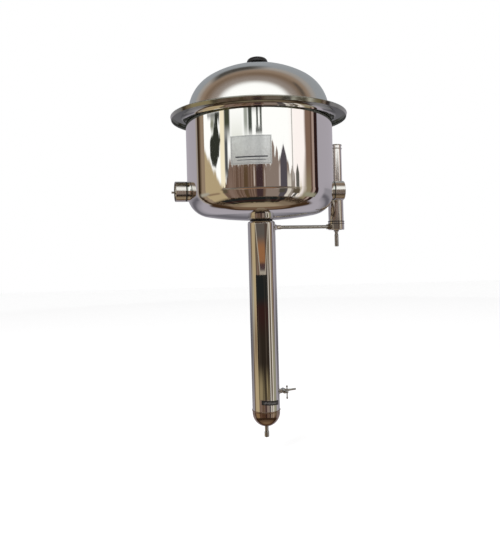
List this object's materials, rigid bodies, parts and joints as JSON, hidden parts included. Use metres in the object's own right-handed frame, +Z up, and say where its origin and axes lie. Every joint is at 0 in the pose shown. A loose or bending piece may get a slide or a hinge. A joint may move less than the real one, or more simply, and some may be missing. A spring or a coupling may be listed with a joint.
{
  "type": "water still",
  "caption": "Wall-mounted polished steel water still: round boiler with domed lid, upright condenser tube below, level device, inlet cock.",
  "frame": {"origin": "where the top end of the wall strip bears in the hanger pocket on the boiler's back", "axes": "+Z up, +X to the right seen from the front, -Y towards the front"},
  "size_m": [0.3084, 0.3068, 0.6644],
  "materials": {
    "polished_steel": "mirror-polished stainless steel",
    "satin_steel": "satin stainless steel, folded and welded",
    "plated_brass": "nickel-plated turned brass",
    "brass": "plain turned brass",
    "black_rubber": "matt black rubber",
    "black_knob": "moulded black phenolic",
    "white_ceramic": "white glazed ceramic",
    "heater_sheath": "oxidised steel heater sheath"
  },
  "bodies": {
    "still": {"boiler_lid": "polished_steel", "wall_hanger": "satin_steel", "boiler_drum": "polished_steel", "boiler_bottom": "polished_steel", "lid_knob": "black_knob", "lid_knob_gasket": "black_rubber", "lid_knob_washer": "polished_steel", "lid_knob_screw": "polished_steel", "condenser_top_cap": "polished_steel", "condenser_jacket": "polished_steel", "condenser_bottom_cap": "polished_steel", "steam_tube": "polished_steel", "distillate_spout": "polished_steel", "steam_hood": "polished_steel", "condenser_gasket": "black_rubber", "condenser_washer": "polished_steel", "condenser_lock_nut": "brass", "left_heater_gasket": "black_rubber", "left_heater_shroud": "polished_steel", "left_heater_head": "plated_brass", "left_heater_element": "heater_sheath", "left_heater_pins": "plated_brass", "left_heater_insulators": "white_ceramic", "left_earth_clip": "plated_brass", "right_heater_gasket": "black_rubber", "right_heater_shroud": "polished_steel", "right_heater_head": "plated_brass", "right_heater_element": "heater_sheath", "right_heater_pins": "plated_brass", "right_heater_insulators": "white_ceramic", "right_earth_clip": "plated_brass", "level_chamber": "polished_steel", "level_chamber_cap": "polished_steel", "level_tube": "polished_steel", "level_chamber_base": "polished_steel", "level_chamber_gasket": "black_rubber", "level_base_ring": "black_rubber", "overflow_standpipe": "polished_steel", "overflow_nozzle": "plated_brass", "feed_pipe": "polished_steel", "feed_gasket": "black_rubber", "feed_nut": "brass", "cross_pipe": "polished_steel", "cross_pipe_ferrule": "polished_steel", "cross_pipe_nut": "plated_brass", "cock_ferrule": "plated_brass", "cock_body": "plated_brass"},
    "key": {"cock_key": "plated_brass", "cock_key_bar": "plated_brass", "cock_key_washer": "plated_brass", "cock_key_nut": "plated_brass"}
  },
  "joints": [
    {"name": "cock_turn", "type": "hinge", "parent": "still", "child": "key", "pos_m": [0.03217, -0.1153, -0.4515], "axis": [0.4226, -0.9063, 0], "range_deg": [0, 90]}
  ]
}
